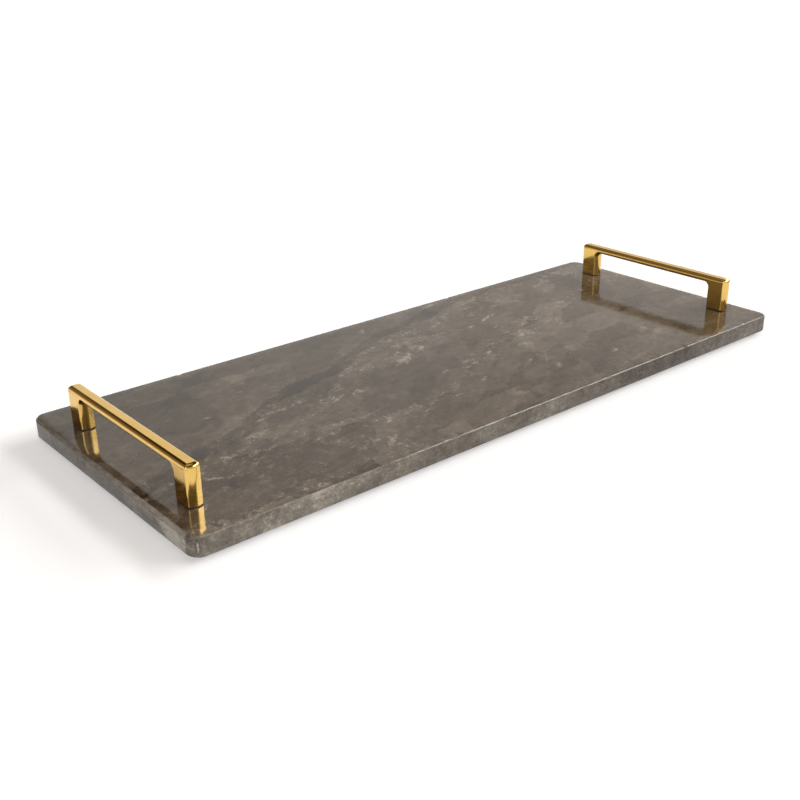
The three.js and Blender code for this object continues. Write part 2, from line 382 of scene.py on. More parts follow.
# The stone's pattern, seen from above: the lie of the veins, and where its larger marks are
VEIN_ANGLE = 21.0
VEIN_LEAN = (0.55, -0.4)
DARK_BAND = [
    # The middle of a band, as x, y
    (-254, -38), (-145, 4), (-112, 22), (-76, 31), (-43, 44),
    (-18, 55), (10, 68), (51, 77), (112, 88), (254, 98),
]
PALE_BAND = [
    (-254, -66), (-168, -14), (-132, 2), (-97, -2), (-66, 11),
    (-51, 22), (-33, 32), (-13, 37), (60, 58), (254, 90),
]
LOW_BAND = [
    (-254, -96), (-150, -78), (-91, -56), (-33, -52), (0, -38),
    (13, -20), (36, -12), (79, -2), (150, 24), (254, 60),
]
FLECKS = [
    # Small pale marks, as x, y, length, width, turn, strength
    (-20, 15, 24, 11, 28, 1.0),
    (5, 25, 16, 7, 22, 0.8),
    (-5, 82, 13, 8, 30, 1.0),
    (69, 91, 20, 6, 8, 0.95),
    (64, 35, 10, 5, 10, 0.9),
    (84, 40, 26, 3, 20, 0.9),
    (94, 43, 10, 5, 30, 0.9),
    (79, -3, 8, 7, 40, 0.9),
    (55, -60, 13, 6, 50, 0.9),
    (105, -68, 11, 6, 15, 0.95),
    (109, 22, 10, 7, 35, 0.8),
    (77, 22, 17, 4, 18, 0.7),
    (-91, -55, 12, 5, 15, 0.85),
    (-63, -58, 12, 3, 10, 0.8),
    (-33, -53, 14, 5, 25, 0.75),
    (13, -20, 10, 4, 15, 0.8),
    (36, -12, 14, 5, 38, 0.8),
    (47, -42, 6, 3, 40, 0.85),
    (-137, 44, 10, 4, 15, 0.75),
    (-174, 22, 12, 4, 10, 0.75),
    (-12, -19, 16, 3, 22, 0.75),
    (-2, -46, 14, 4, 42, 0.75),
    (212, 76, 18, 8, 25, 0.6),
    (-209, -50, 24, 4, -35, 0.85),
    (-120, 4, 20, 4, 16, 0.75),
    (-95, -7, 22, 4, 24, 0.85),
    (-150, -2, 22, 4, 20, 0.8),
    (-107, -77, 18, 7, 40, 0.8),
]
SHADES = [
    # Darker patches, in the same way
    (-183, -30, 42, 16, 80, 1.0),
    (-203, -62, 26, 20, 10, 1.0),
    (-76, -77, 40, 7, 20, 1.0),
    (-36, -72, 34, 7, 18, 1.0),
    (23, -31, 20, 6, 30, 1.0),
    (-172, 12, 22, 10, 60, 1.0),
    (-64, -78, 110, 54, 8, 1.0),
    (76, -70, 130, 46, 12, 1.0),
    (-180, 70, 110, 46, 15, 1.0),
]
LIGHTS = [
    # Paler patches, in the same way
    (205, 78, 90, 40, 10, 1.0),
    (66, 24, 90, 50, 25, 1.0),
]
# How fast a mark fades with depth, per millimetre
MARK_FALL = 0.12

FRONT_TONES = [
    # How pale the front side is along x: palest near the left end, darkest halfway to the right end
    (-254, 0.54),
    (-190, 0.75),
    (-100, 0.54),
    (15, 0.53),
    (65, 0.39),
    (130, 0.20),
    (205, 0.41),
    (254, 0.42),
]
CORNER_VEIN = (-250.6, -97.0, 0.0)

# The stone's colours by tone, and those of its edge
TOP_COLOURS = [
    (0.08, srgb(50, 38, 25)),
    (0.32, srgb(78, 66, 51)),
    (0.50, srgb(97, 85, 71)),
    (0.72, srgb(123, 111, 97)),
    (1.00, srgb(172, 160, 146)),
]
SIDE_COLOURS = [
    (0.00, srgb(57, 49, 40)),
    (0.35, srgb(90, 82, 72)),
    (0.60, srgb(113, 106, 96)),
    (0.80, srgb(135, 128, 117)),
    (1.00, srgb(175, 168, 157)),
]
# The chamfer's pale colour is partly rubbed wear and partly a painted highlight
RUBBED_AND_HIGHLIT_STONE = (*srgb(168, 161, 150), 1.0)
# A dark line of painted shade just below the chamfer
EDGE_SHADE_LINE = (*srgb(48, 43, 37), 1.0)
VEIN_CRACK = (*srgb(58, 52, 44), 1.0)
VEIN_WHITE = (*srgb(186, 181, 171), 1.0)
STONE_IOR = 1.4


def stone_places(g):
    """The points that the stone's layers are drawn from: plain, leaning with depth, warped and torn."""
    place = g.millimetres()
    x, y, z = g.split(place)
    depth = g.minus(z, SLAB_TOP)
    lean_x, lean_y = VEIN_LEAN
    leaning = g.join(g.math("MULTIPLY_ADD", depth, lean_x, x), g.math("MULTIPLY_ADD", depth, lean_y, y), z)
    loose = g.warp(g.warp(leaning, size=60, amount=26), size=16, amount=9)
    torn = g.warp(g.warp(leaning, size=11, amount=6, detail=4), size=2.6, amount=1.8)
    along = g.vector("MULTIPLY", g.turn(loose, -VEIN_ANGLE), (0.6, 1.0, 1.0))
    torn_along = g.vector("MULTIPLY", g.turn(torn, -VEIN_ANGLE), (0.55, 1.0, 1.0))
    drawn_out = g.vector("MULTIPLY", place, (0.7, 0.4, 1.0))
    return SimpleNamespace(place=place, x=x, y=y, z=z, leaning=leaning, loose=loose, torn=torn, along=along,
                           torn_along=torn_along, drawn_out=drawn_out)


def stone_ground(g, at):
    """The stone's tone before its marks: slopes across the slab, one of them painted shade, broad drift,
    broken pieces in two sizes and a fine mottle.
    """
    drift = g.grey_noise(at.leaning, size=120, detail=2)
    cloud = g.grey_noise(at.along, size=34, detail=5, rough=0.6)
    ripped = g.warp(at.torn_along, size=7, amount=9, detail=5)
    pieces = g.cells(ripped, size=26)
    chips = g.cells(g.vector("ADD", ripped, (71.0, 13.0, 5.0)), size=11)
    chipped = g.ramp(g.grey_noise(at.loose, size=30, detail=3), 0.45, 0.58)
    mottle = g.grey_noise(at.torn_along, size=5.5, detail=6, rough=0.70)
    grain = g.grey_noise(at.place, size=0.9, detail=3)
    tone = g.add(
        0.42,
        # Paler towards the right end: painted shade over the near left end, which stands in for its weaker
        # reflection
        g.times(at.x, 0.10 / HALF_LENGTH),
        g.times(at.y, -0.04 / HALF_WIDTH),
        g.times(g.times(at.x, at.y), 0.10 / (HALF_LENGTH * HALF_WIDTH)),
        g.centred(drift, 0.20),
        g.centred(cloud, 0.50),
        g.centred(pieces, 0.25),
        g.times(g.centred(chips, 0.24), chipped),
        g.centred(mottle, 0.50),
        g.centred(grain, 0.20),
    )
    return SimpleNamespace(tone=tone, chips=chips, mottle=mottle, grain=grain)


def stone_bands(g, at, ground):
    """Where the dark band runs, and how thickly pale marks lie around the pale bands and the near corner."""
    x, y, _ = g.split(at.loose)
    share = g.spread(x, -HALF_LENGTH, HALF_LENGTH)

    def off(points):
        """How far a point lies from the middle of a band."""
        line = [(0.5 + px / (2 * HALF_LENGTH), 0.5 + py / (2 * HALF_WIDTH)) for px, py in points]
        middle = g.spread(g.curve(share, line), 0, 1, -HALF_WIDTH, HALF_WIDTH)
        return g.absolute(g.minus(y, middle))

    dark = g.ramp(g.add(off(DARK_BAND), g.centred(ground.mottle, 12.0)), 8, 4)
    pale = g.ramp(off(PALE_BAND), 26, 6)
    low = g.ramp(off(LOW_BAND), 22, 5)
    corner = g.times(g.ramp(x, -40, -130), g.ramp(y, 0, -40))
    by_chip = g.add(0.35, g.times(g.ramp(ground.chips, 0.3, 0.6), 0.65))
    return dark, g.times(g.most(pale, low, corner), by_chip)


def inside_ovals(g, points, marks):
    """How far inside the nearest of some oval marks a point lies, its strength at the middle."""
    inside = []
    for x, y, length, width, turn, strength in marks:
        local = g.vector("SUBTRACT", points, (x, y, SLAB_TOP))
        local = g.vector("MULTIPLY", g.turn(local, -turn), (2 / length, 2 / width, MARK_FALL))
        inside.append(g.minus(strength, g.vector("LENGTH", local)))
    return g.most(*inside)


def stone_marks(g, at, ground):
    """The tone with all its marks, the pale strokes, and where the stone is palest."""
    dark, zone = stone_bands(g, at, ground)

    def in_zone(mark, least):
        return g.times(mark, g.add(least, g.times(zone, 1 - least)))

    # A pale crust of short strokes and dark specks, thickest in the zone
    crust = in_zone(g.ramp(g.grey_noise(at.torn_along, size=3.2, detail=8, rough=0.78), 0.51, 0.64), 0.10)
    off_ridge = g.absolute(g.centred(g.grey_noise(at.torn, size=12, detail=7, rough=0.70), 24.0))
    ridge = g.math("SUBTRACT", 1.0, off_ridge, clamp=True)
    gaps = g.ramp(g.grey_noise(at.torn, size=7, detail=4, rough=0.6), 0.46, 0.60)
    strokes = in_zone(g.times(g.math("POWER", ridge, 2.0), gaps), 0.10)
    specks = in_zone(g.ramp(g.grey_noise(at.torn, size=2.4, detail=4, rough=0.7), 0.60, 0.68), 0.25)

    # Single flecks and larger patches, with ragged rims
    ragged = g.centred(g.grey_noise(at.torn, size=3.6, detail=7, rough=0.72), 3.4)
    uneven = g.times(ragged, 0.5)
    broken = g.ramp(g.grey_noise(at.torn, size=1.6, detail=5, rough=0.75), 0.38, 0.57, 0.15, 1.0)
    flecks = g.times(g.ramp(g.add(inside_ovals(g, at.torn, FLECKS), ragged), 0.05, 0.60), broken)
    shades = g.ramp(g.add(inside_ovals(g, at.torn, SHADES), uneven), 0.0, 0.50)
    lights = g.ramp(g.add(inside_ovals(g, at.torn, LIGHTS), uneven), 0.0, 0.60)

    # Dark hair cracks
    crack_noise = g.grey_noise(g.vector("ADD", at.along, (31.0, 57.0, 0.0)), size=42, detail=5, rough=0.6)
    crack = g.ramp(g.absolute(g.minus(crack_noise, 0.5)), 0.0045, 0.0015)
    crack = g.times(crack, g.ramp(g.grey_noise(at.leaning, size=26, detail=3), 0.50, 0.58))

    tone = g.add(
        ground.tone,
        g.times(dark, -0.20),
        g.times(shades, -0.15),
        g.times(lights, 0.09),
        g.times(crack, -0.18),
        g.times(specks, -0.20),
        g.times(crust, 0.36),
        g.times(strokes, 0.50),
        g.times(flecks, 0.50),
    )
    return SimpleNamespace(tone=tone, strokes=strokes, pale=g.most(flecks, strokes))


def stone_sides(g, at, strokes):
    """The sides are polished too, with blotches of their own and a paler patch beside the near corner."""
    short_end = g.ramp(g.absolute(at.x), HALF_LENGTH - 4, HALF_LENGTH - 1)
    line = [(0.5 + px / (2 * HALF_LENGTH), tone) for px, tone in FRONT_TONES]
    long_tone = g.curve(g.spread(at.x, -HALF_LENGTH, HALF_LENGTH), line)
    near_patch = g.times(g.ramp(at.y, -54, -72), g.ramp(at.y, -92, -89))
    short_tone = g.add(
        0.31,
        g.ramp(at.y, 5, -15, 0.0, 0.22),
        g.ramp(at.y, 20, 60, 0.0, 0.07),
        g.times(near_patch, 0.40),
    )
    blotch = g.grey_noise(g.warp(at.drawn_out, size=8, amount=5, detail=4), size=11, detail=7, rough=0.70)
    speckle = g.grey_noise(g.warp(at.drawn_out, size=3, amount=2), size=1.6, detail=5, rough=0.72)
    tone = g.add(
        long_tone,
        g.times(short_end, g.minus(short_tone, long_tone)),
        g.centred(blotch, g.add(1.4, g.times(short_end, 0.8))),
        g.centred(speckle, 1.0),
        g.times(strokes, 0.25),
    )
    return SimpleNamespace(colour=g.colours(tone, SIDE_COLOURS), blotch=blotch, short_end=short_end)


def stone_chamfer(g, at, sides, chamfer, colour):
    """The top chamfer is paler in places, most of all near the front: rubbed wear and a painted highlight,
    over a thin dark line of painted shade.
    """
    scuffs = g.grey_noise(g.warp(at.drawn_out, size=4, amount=3), size=2.4, detail=6, rough=0.70)
    straight = g.ramp(g.absolute(at.y), HALF_WIDTH - 7, HALF_WIDTH - 10)
    # How pale the chamfer is painted, partly wear and partly painted highlight, stronger towards the front
    even_pale = g.add(0.06, g.times(straight, g.ramp(at.y, 50, -50, 0.04, 0.28)))
    scuffed_pale = g.add(0.22, g.times(straight, g.ramp(at.y, 50, -50, 0.0, 0.36)))
    rub_and_highlight = g.add(even_pale, g.times(g.ramp(scuffs, 0.44, 0.58), scuffed_pale))
    colour = g.mix(g.times(chamfer, rub_and_highlight), colour, RUBBED_AND_HIGHLIT_STONE)
    # A thin dark line just below the short ends' chamfer is painted shade, broken up by the blotches
    off_line = g.absolute(g.minus(at.z, SLAB_TOP - TOP_CHAMFER - 0.5))
    shade_line = g.times(g.ramp(off_line, 0.5, 0.15), sides.short_end)
    shade_line = g.times(shade_line, g.ramp(sides.blotch, 0.40, 0.52))
    return g.mix(g.times(shade_line, 0.6), colour, EDGE_SHADE_LINE)


def stone_corner(g, at, sides, side, colour):
    """A white vein runs down the near corner between two cracks."""
    gap = g.add(
        g.vector("LENGTH", g.vector("SUBTRACT", g.join(at.x, at.y, 0.0), CORNER_VEIN)),
        g.centred(sides.blotch, 6.0),
        g.ramp(at.z, SLAB_TOP - 5, SLAB_TOP - 1, 0.0, 1.6),
        g.ramp(at.z, SLAB_BOTTOM + 4, SLAB_BOTTOM, 0.0, 1.2),
    )
    colour = g.mix(g.times(g.ramp(gap, 2.0, 1.2), 0.45), colour, VEIN_CRACK)
    return g.mix(g.times(g.ramp(gap, 0.9, 0.3), g.times(side, 0.8)), colour, VEIN_WHITE)


def stone():
    made, g = material("taupe_marble")
    at = stone_places(g)
    ground = stone_ground(g, at)
    marks = stone_marks(g, at, ground)
    sides = stone_sides(g, at, marks.strokes)
    slope = g.upwards()
    side = g.ramp(at.z, SLAB_TOP - 0.2, SLAB_TOP - 0.5)
    chamfer = g.times(g.ramp(slope, 0.25, 0.50), g.ramp(slope, 0.985, 0.90))
    colour = g.mix(side, g.colours(marks.tone, TOP_COLOURS), sides.colour)
    colour = stone_chamfer(g, at, sides, chamfer, colour)
    colour = stone_corner(g, at, sides, side, colour)

    # The ground chamfer and the sawn underside are duller, but for glints along the edge
    glints = g.grey_noise(g.warp(at.place, size=6, amount=4), size=4.0, detail=5, rough=0.70)
    long_edge = g.times(g.ramp(at.x, -150, -105), g.minus(1.0, sides.short_end))
    glints = g.times(g.ramp(glints, 0.36, 0.52), long_edge)
    dull = g.times(chamfer, g.ramp(glints, 0.0, 1.0, 1.0, 0.15))
    honed = g.most(dull, g.ramp(slope, -0.5, -0.9))
    roughness = g.add(
        0.07,
        g.times(ground.mottle, 0.05),
        g.times(marks.pale, 0.05),
        g.times(side, 0.06),
        g.times(honed, 0.50),
    )
    waves = g.grey_noise(at.place, size=34, detail=2)
    saw_marks = g.grey_noise(g.vector("MULTIPLY", at.place, (0.25, 0.25, 1.6)), size=1.4, detail=3)
    relief = g.add(
        g.times(waves, 0.5),
        g.times(g.times(saw_marks, honed), 0.03),
        g.times(g.times(ground.grain, honed), 0.05),
        g.times(ground.grain, 0.004),
    )
    g.surface({
        "Base Color": colour,
        "Roughness": roughness,
        "IOR": STONE_IOR,
        "Normal": g.bump(relief, strength=0.6, distance=0.0005),
    })
    return made


# The colours of the metals, with a dark brown of painted shade for the gold's underside, and the shades of
# the two rubbers
GOLD_DEEP = (0.76, 0.50, 0.138, 1.0)
GOLD_PALE = (0.805, 0.538, 0.164, 1.0)
GOLD_SHADED_UNDERSIDE = (0.15, 0.10, 0.045, 1.0)
ZINC_DARK = (0.42, 0.43, 0.45, 1.0)
ZINC_PALE = (0.62, 0.62, 0.61, 1.0)
# The pads' near-black rubber shows as a thin line at each leg's foot, which also stands in as a painted
# contact shadow there
PAD_AND_SHADOW_SHADE = 0.016
FOOT_SHADE = 0.024


def gold():
    made, g = material("polished_gold")
    place = g.millimetres()
    smear = g.grey_noise(g.warp(place, size=20, amount=10), size=9)
    grain = g.grey_noise(g.vector("MULTIPLY", place, (1.0, 0.12, 1.0)), size=0.5, detail=3)
    colour = g.mix(g.ramp(smear, 0.35, 0.7), GOLD_DEEP, GOLD_PALE)
    # Faces that point down are painted dark brown, a painted shade under the bar, and are made rougher
    under = g.ramp(g.upwards(), -0.2, -0.6)
    relief = g.add(g.grey_noise(place, size=7, detail=3), g.times(grain, 0.02))
    g.surface({
        "Base Color": g.mix(under, colour, GOLD_SHADED_UNDERSIDE),
        "Metallic": 1.0,
        "Roughness": g.add(0.09, g.times(smear, 0.04), g.times(grain, 0.02), g.times(under, 0.21)),
        "Normal": g.bump(relief, strength=0.5, distance=0.00004),
    })
    return made


def steel():
    made, g = material("zinc_plated_steel")
    place = g.millimetres()
    bloom = g.grey_noise(g.warp(place, size=4, amount=2), size=2.2)
    grain = g.grey_noise(place, size=0.25, detail=3)
    g.surface({
        "Base Color": g.mix(bloom, ZINC_DARK, ZINC_PALE),
        "Metallic": 1.0,
        "Roughness": g.add(0.24, g.times(bloom, 0.18)),
        "Normal": g.bump(grain, strength=0.3, distance=0.00005),
    })
    return made


def rubber(name, shade):
    made, g = material(name)
    place = g.millimetres()
    dust = g.grey_noise(g.warp(place, size=6, amount=3), size=3)
    grain = g.grey_noise(place, size=0.35, detail=3)
    clean = (shade, shade * 0.97, shade * 0.94, 1.0)
    dusty = (shade * 1.9, shade * 1.86, shade * 1.8, 1.0)
    g.surface({
        "Base Color": g.mix(g.ramp(dust, 0.4, 0.75), clean, dusty),
        "Roughness": g.add(0.62, g.times(dust, 0.2)),
        "Normal": g.bump(grain, strength=0.5, distance=0.0001),
    })
    return made


# Places on the slab's edge that are chipped, as x, y, radius and depth
CHIPS = [
    (147.9, -98.0, 2.6, 0.9),
    (201.0, -98.3, 1.8, 0.5),
    (62.0, -98.3, 1.6, 0.45),
    (-33.0, -98.3, 1.8, 0.4),
    (-253.6, 22.0, 2.0, 0.5),
    (-253.6, -61.0, 1.7, 0.45),
    (96.0, 98.2, 2.0, 0.5),
    (-150.0, 98.2, 1.8, 0.5),
    (253.6, -40.0, 2.2, 0.5),
]
CORNER_STEPS = 14
ARRIS_STEPS = 3

# How the slab's edge is worn: a slow and a quick sway along it, and nicks near the top arris
EVEN_WEAR = 0.06
SLOW_SWAY = 0.05
SLOW_LENGTH = 45
QUICK_SWAY = 0.015
QUICK_LENGTH = 7
NICK_LENGTH = 5.5
NICK_LEVEL = 0.22
NICK_DEPTH = 0.55
NICK_IN = 0.75
NICK_DOWN = 0.6
ARRIS_REACH = 2.2
ARRIS_DROP = 3.5


def outline():
    """The slab's outline, as points with their outward directions."""
    runs = []
    for k, (sign_x, sign_y) in enumerate(((1, 1), (-1, 1), (-1, -1), (1, -1))):
        centre = Vector((sign_x * (HALF_LENGTH - CORNER_RADIUS), sign_y * (HALF_WIDTH - CORNER_RADIUS)))
        turns = [k * QUARTER + QUARTER * step / CORNER_STEPS for step in range(CORNER_STEPS + 1)]
        ways = [Vector((math.cos(t), math.sin(t))) for t in turns]
        runs.append([(centre + way * CORNER_RADIUS, way) for way in ways])
    ring = []
    for run, following in zip(runs, runs[1:] + runs[:1]):
        ring += run
        start, way = run[-1]
        stop = following[0][0]
        steps = round((stop - start).length / EDGE_SPACING)
        ring += [(start.lerp(stop, k / steps), way) for k in range(1, steps)]
    return ring


def worn(point, way, arris):
    """A point of the slab's edge after wear: slightly uneven all along, with nicks at the arris."""
    place = Vector((point.x, point.y, point.z))
    sway = noise.noise(place / SLOW_LENGTH) * SLOW_SWAY + noise.noise(place / QUICK_LENGTH) * QUICK_SWAY
    nick = max(0.0, noise.noise(place / NICK_LENGTH) - NICK_LEVEL) * NICK_DEPTH * arris
    for chip_x, chip_y, radius, depth in CHIPS:
        gap = math.hypot(place.x - chip_x, place.y - chip_y)
        nick += depth * arris * max(0.0, 1 - (gap / radius) ** 2)
    outward = min(sway - EVEN_WEAR - nick * NICK_IN, 0.0)
    return place + Vector((way.x * outward, way.y * outward, -nick * NICK_DOWN))


def edge_profile(chamfer, drop):
    """The slab's edge in section, from the flat underside round to the flat top, as inset and height.

    A held point at each end keeps the wear of the rim out of the shading of the flat faces.
    """
    rim = soften([
        (FLAT_MARGIN, SLAB_BOTTOM),
        (BOTTOM_CHAMFER, SLAB_BOTTOM),
        (0, SLAB_BOTTOM + BOTTOM_CHAMFER),
        (0, SLAB_TOP - drop),
        (chamfer, SLAB_TOP),
        (FLAT_MARGIN, SLAB_TOP),
    ], ARRIS_RADIUS, ARRIS_STEPS)
    held = FLAT_MARGIN + HOLD
    return [Vector((held, SLAB_BOTTOM)), *rim, Vector((held, SLAB_TOP))]


def make_slab(finish):
    bm = bmesh.new()
    edge = outline()
    rings = []
    long_profile = edge_profile(LONG_CHAMFER, LONG_DROP)
    short_profile = edge_profile(TOP_CHAMFER, TOP_CHAMFER)
    for on_long, on_short in zip(long_profile, short_profile):
        points = []
        for place, way in edge:
            inset, z = on_long.lerp(on_short, way.x ** 2)
            point = Vector((place.x - way.x * inset, place.y - way.y * inset, z))
            arris = 0.0
            if z > SLAB_TOP - ARRIS_DROP:
                arris = max(0.0, 1 - abs(inset - TOP_CHAMFER / 2) / ARRIS_REACH)
            points.append(worn(point, way, arris) if inset < FLAT_MARGIN else point)
        rings.append(ring_of(bm, points))
    bridge_all(bm, rings)
    top_holes, bottom_holes = [], []
    for _, _, sign_x, sign_y in LEGS:
        x, y = sign_x * HANDLE_X, sign_y * LEG_Y
        heights = [
            (COUNTERBORE_RADIUS, SLAB_BOTTOM),
            (COUNTERBORE_RADIUS, SEAT_Z),
            (STONE_HOLE_RADIUS, SEAT_Z),
            (STONE_HOLE_RADIUS, SLAB_TOP),
        ]
        bore = [ring_of(bm, circle(x, y, z, radius)) for radius, z in heights]
        bridge_all(bm, bore)
        bottom_holes.append(bore[0])
        top_holes.append(bore[-1])
    fill(bm, [rings[0], *bottom_holes], -1)
    fill(bm, [rings[-1], *top_holes], 1)
    return finish_piece(bm, "stone_slab", finish, "marble_slab", SLAB_CREASE)


# Steps round a handle's edges, across the bowed ends of its legs and round its bends
EDGE_STEPS = 8
BOW_STEPS = 16
BEND_STEPS = 16


def section_end(half_depth, reach, bow, edge):
    """One end of a handle section, with x across the bar: a bowed face with rounded edges."""
    bulge = max(bow, LEAST_BOW)
    bow_radius = (half_depth ** 2 + bulge ** 2) / (2 * bulge)
    bow_centre = reach - bow_radius
    edge_x = half_depth - edge
    edge_y = bow_centre + math.sqrt((bow_radius - edge) ** 2 - edge_x ** 2)
    turn = math.atan2(edge_y - bow_centre, edge_x)
    right = arc(edge_x, edge_y, edge, 0, turn, EDGE_STEPS)
    face = arc(0, bow_centre, bow_radius, turn, math.pi - turn, BOW_STEPS)
    left = arc(-edge_x, edge_y, edge, math.pi - turn, math.pi, EDGE_STEPS)
    return [*right, *face[1:-1], *left]


def section_ring(outer, inner, turn, bow, edge, inner_edge, shrink):
    """A closed section from a point on the arch's outer line to one on its inner line.

    Both ends are drawn in square to their lines. A held point beside each edge keeps the flanks flat.
    """
    outward = Vector((math.cos(turn), math.sin(turn)))
    half_depth = HANDLE_DEPTH / 2 - shrink
    ring = []
    for line, way, radius in ((outer, 1, edge), (inner, -1, inner_edge)):
        end = section_end(half_depth, -shrink, bow, radius)
        held = end[-1].y - HOLD
        for point in (Vector((half_depth, held)), *end, Vector((-half_depth, held))):
            place = line + outward * (way * point.y)
            ring.append(Vector((way * point.x, place.x, place.y)))
    return ring


def arch_half():
    """The sections of one half of the arch, from the foot of a leg to the bar."""
    outer_y = LEG_Y + LEG_WIDTH / 2
    inner_y = LEG_Y - LEG_WIDTH / 2
    under = HANDLE_HEIGHT - BAR_THICKNESS
    outer_end = HANDLE_HEIGHT - BAR_END_RADIUS
    inner_end = under - INNER_FILLET
    outer_line = arc(outer_y - BAR_END_RADIUS, outer_end, BAR_END_RADIUS, 0, QUARTER, BEND_STEPS)
    inner_line = arc(inner_y - INNER_FILLET, inner_end, INNER_FILLET, 0, QUARTER, BEND_STEPS)
    sections = []
    middle = LEG_FOOT_ROUND * ROUND_MIDDLE
    foot = [(0, LEG_FOOT_ROUND), (middle, middle), (LEG_FOOT_ROUND, 0), (LEG_FOOT_ROUND + HOLD, 0)]
    for z, shrink in foot:
        ends = (Vector((outer_y, z)), Vector((inner_y, z)))
        sections.append((*ends, 0, LEG_BOW, LEG_EDGE_RADIUS, LEG_EDGE_RADIUS, shrink))
    below = Vector((0, -HOLD))
    ends = (outer_line[0] + below, inner_line[0] + below)
    sections.append((*ends, 0, LEG_BOW, LEG_EDGE_RADIUS, LEG_EDGE_RADIUS, 0))
    for k, (outer, inner) in enumerate(zip(outer_line, inner_line)):
        share = k / BEND_STEPS
        edge = LEG_EDGE_RADIUS + (BAR_TOP_RADIUS - LEG_EDGE_RADIUS) * share
        inner_edge = LEG_EDGE_RADIUS + (BAR_UNDER_RADIUS - LEG_EDGE_RADIUS) * share
        sections.append((outer, inner, QUARTER * share, LEG_BOW * (1 - share), edge, inner_edge, 0))
    inwards = Vector((-HOLD, 0))
    ends = (outer_line[-1] + inwards, inner_line[-1] + inwards)
    sections.append((*ends, QUARTER, 0, BAR_TOP_RADIUS, BAR_UNDER_RADIUS, 0))
    return sections


def make_handle(end, sign_x, finish):
    bm = bmesh.new()
    half = arch_half()
    flip = Matrix(((-1, 0), (0, 1)))
    other = [
        (flip @ outer, flip @ inner, math.pi - turn, *rest)
        for outer, inner, turn, *rest in reversed(half)
    ]
    shift = Vector((sign_x * HANDLE_X, 0, HANDLE_BASE))
    rings = []
    for section in [*half, *other]:
        rings.append(ring_of(bm, [point + shift for point in section_ring(*section)]))
    bridge_all(bm, rings)
    for ring, side in ((rings[0], 1), (rings[-1], -1)):
        x, y = sign_x * HANDLE_X, side * LEG_Y
        heights = (HANDLE_BASE, HANDLE_BASE + THREAD_HOLE_TOP)
        mouth, roof = (
            ring_of(bm, circle(x, y, z, THREAD_HOLE_RADIUS, SMALL_HOLE_STEPS))
            for z in heights
        )
        bridge(bm, mouth, roof)
        bm.faces.new(roof)
        fill(bm, [ring, mouth], -1)
    return finish_piece(bm, f"bar_handle_{end}", finish, f"handle_{end}")


def make_pad(place, x, y, finish):
    bm = bmesh.new()
    low, high = (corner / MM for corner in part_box(f"leg_pad_{place}"))
    rings = []
    levels = [
        (low.z, PAD_EDGE_IN),
        (low.z + PAD_EDGE_UP, 0),
        (high.z - PAD_EDGE_UP, 0),
        (high.z, PAD_EDGE_IN),
    ]
    for z, shrink in levels:
        half_depth = HANDLE_DEPTH / 2 - PAD_SETBACK - shrink
        reach = LEG_WIDTH / 2 - PAD_SETBACK - shrink
        end = section_end(half_depth, reach, LEG_BOW, LEG_EDGE_RADIUS)
        points = [*end, *(-point for point in end)]
        rings.append(ring_of(bm, [Vector((x + point.x, y + point.y, z)) for point in points]))
    bore = [
        ring_of(bm, circle(x, y, z, WASHER_HOLE_RADIUS, SMALL_HOLE_STEPS))
        for z in (low.z, high.z)
    ]
    bridge_all(bm, rings)
    bridge(bm, *bore)
    fill(bm, [rings[0], bore[0]], -1)
    fill(bm, [rings[-1], bore[-1]], 1)
    return finish_piece(bm, f"pad_{place}", finish, f"leg_pad_{place}")


def make_washer(place, x, y, finish):
    bm = bmesh.new()
    profile = [
        (WASHER_HOLE_RADIUS, 0),
        (WASHER_RADIUS - WASHER_EDGE, 0),
        (WASHER_RADIUS, WASHER_EDGE),
        (WASHER_RADIUS, WASHER_THICKNESS - WASHER_EDGE),
        (WASHER_RADIUS - WASHER_EDGE, WASHER_THICKNESS),
        (WASHER_HOLE_RADIUS, WASHER_THICKNESS),
    ]
    rings = [ring_of(bm, circle(x, y, HEAD_TOP + z, radius)) for radius, z in profile]
    bridge_all(bm, [*rings, rings[0]])
    return finish_piece(bm, f"plain_washer_{place}", finish, f"washer_{place}")


def make_foot(place, finish):
    bm = bmesh.new()
    low, high = (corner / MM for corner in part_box(f"foot_{place}"))
    x, y = (low.x + high.x) / 2, (low.y + high.y) / 2
    radius = (high.x - low.x) / 2
    height = high.z - low.z
    turns = [QUARTER * k / FLANK_STEPS for k in range(FLANK_STEPS + 1)]
    flank = [
        (TREAD_RADIUS + (radius - TREAD_RADIUS) * math.sin(t), (height - FOOT_RIM) * (1 - math.cos(t)))
        for t in turns
    ]
    rim = [(radius, height - FOOT_EDGE), (radius - FOOT_EDGE, height)]
    profile = [(0, 0), *TREAD_GROOVES, *flank, *rim, (0, height)]
    turned(bm, profile, x, y, low.z)
    return finish_piece(bm, f"bumper_{place}", finish, f"foot_{place}", FOOT_CREASE)


def cross(x, y, z, scale):
    """The outline of a driver's cross recess at a height, anticlockwise from its first arm."""
    points = []
    for k in range(4):
        way = Vector((math.cos(k * QUARTER), math.sin(k * QUARTER)))
        side = Vector((-way.y, way.x))
        arm = way * RECESS_ARM
        points += [
            arm - side * RECESS_HALF_WIDTH,
            arm + side * RECESS_HALF_WIDTH,
            (way + side) * RECESS_HALF_WIDTH,
        ]
    return [Vector((x + point.x * scale, y + point.y * scale, z)) for point in points]


